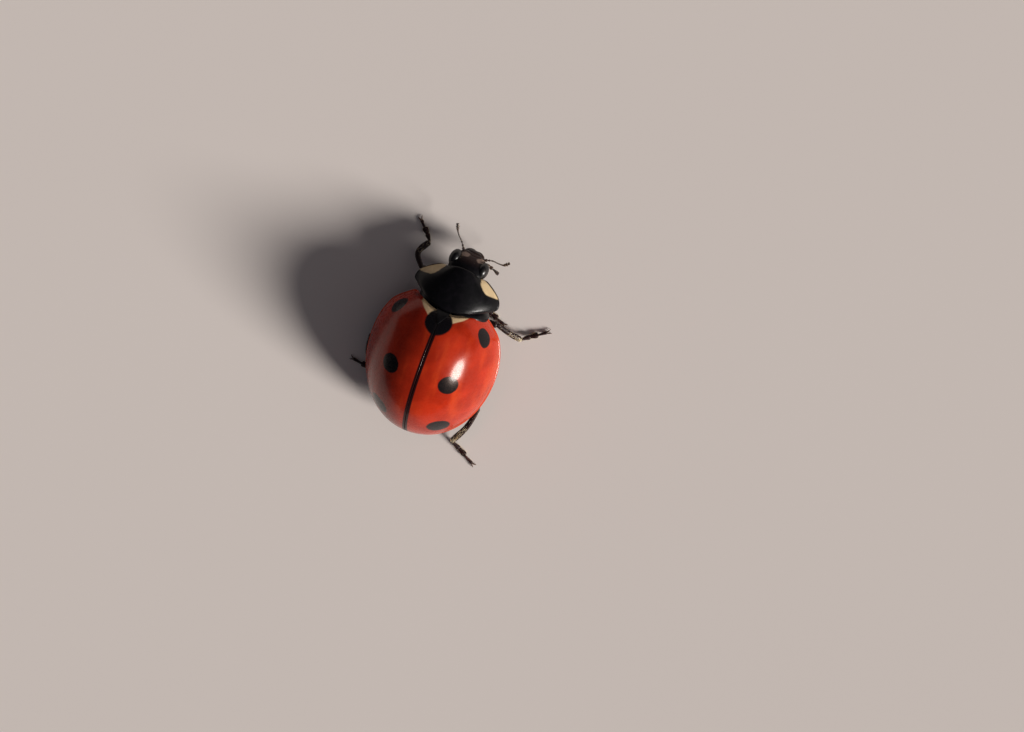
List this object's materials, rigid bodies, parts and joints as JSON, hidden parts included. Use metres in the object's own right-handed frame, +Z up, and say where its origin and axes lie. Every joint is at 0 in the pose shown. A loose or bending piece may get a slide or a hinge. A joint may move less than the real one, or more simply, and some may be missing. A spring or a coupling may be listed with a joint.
{
  "type": "ladybird",
  "caption": "Life-size seven-spot ladybird beetle in mid stride, standing on the flat soles of its feet.",
  "frame": {"origin": "middle of the footprint (bounding box), on the floor", "axes": "+Z up, head towards -Y, the animal's left towards +X; the floor is z = 0"},
  "size_m": [0.0068, 0.009, 0.0035],
  "materials": {
    "wing_case_red": "glossy lacquer-like shell, orange red with black spots",
    "shell_black": "glossy black shell plate, finely pitted",
    "eye_black": "black compound eye of fine facets",
    "leg_black": "black leg plates with fine golden hairs",
    "mouth_brown": "dark brown mouth parts",
    "feeler_brown": "brown feeler joints",
    "hair_gold": "pale golden bristles"
  },
  "bodies": {
    "root": {"abdomen": "shell_black", "antenna_left": "feeler_brown", "antenna_right": "feeler_brown", "breastplate": "shell_black", "coxa_front_left": "leg_black", "coxa_front_right": "leg_black", "coxa_hind_left": "leg_black", "coxa_hind_right": "leg_black", "coxa_middle_left": "leg_black", "coxa_middle_right": "leg_black", "elytron_left": "wing_case_red", "elytron_right": "wing_case_red", "eye_left": "eye_black", "eye_right": "eye_black", "femur_front_left": "leg_black", "femur_front_right": "leg_black", "femur_hind_left": "leg_black", "femur_hind_right": "leg_black", "femur_middle_left": "leg_black", "femur_middle_right": "leg_black", "head": "shell_black", "mouth": "mouth_brown", "neck_body": "shell_black", "palp_left": "feeler_brown", "palp_right": "feeler_brown", "pronotum": "shell_black", "scutellum": "shell_black", "tarsus_front_left": "leg_black", "tarsus_front_right": "leg_black", "tarsus_hind_left": "leg_black", "tarsus_hind_right": "leg_black", "tarsus_middle_left": "leg_black", "tarsus_middle_right": "leg_black", "tibia_front_left": "leg_black", "tibia_front_right": "leg_black", "tibia_hind_left": "leg_black", "tibia_hind_right": "leg_black", "tibia_middle_left": "leg_black", "tibia_middle_right": "leg_black"}
  },
  "joints": []
}
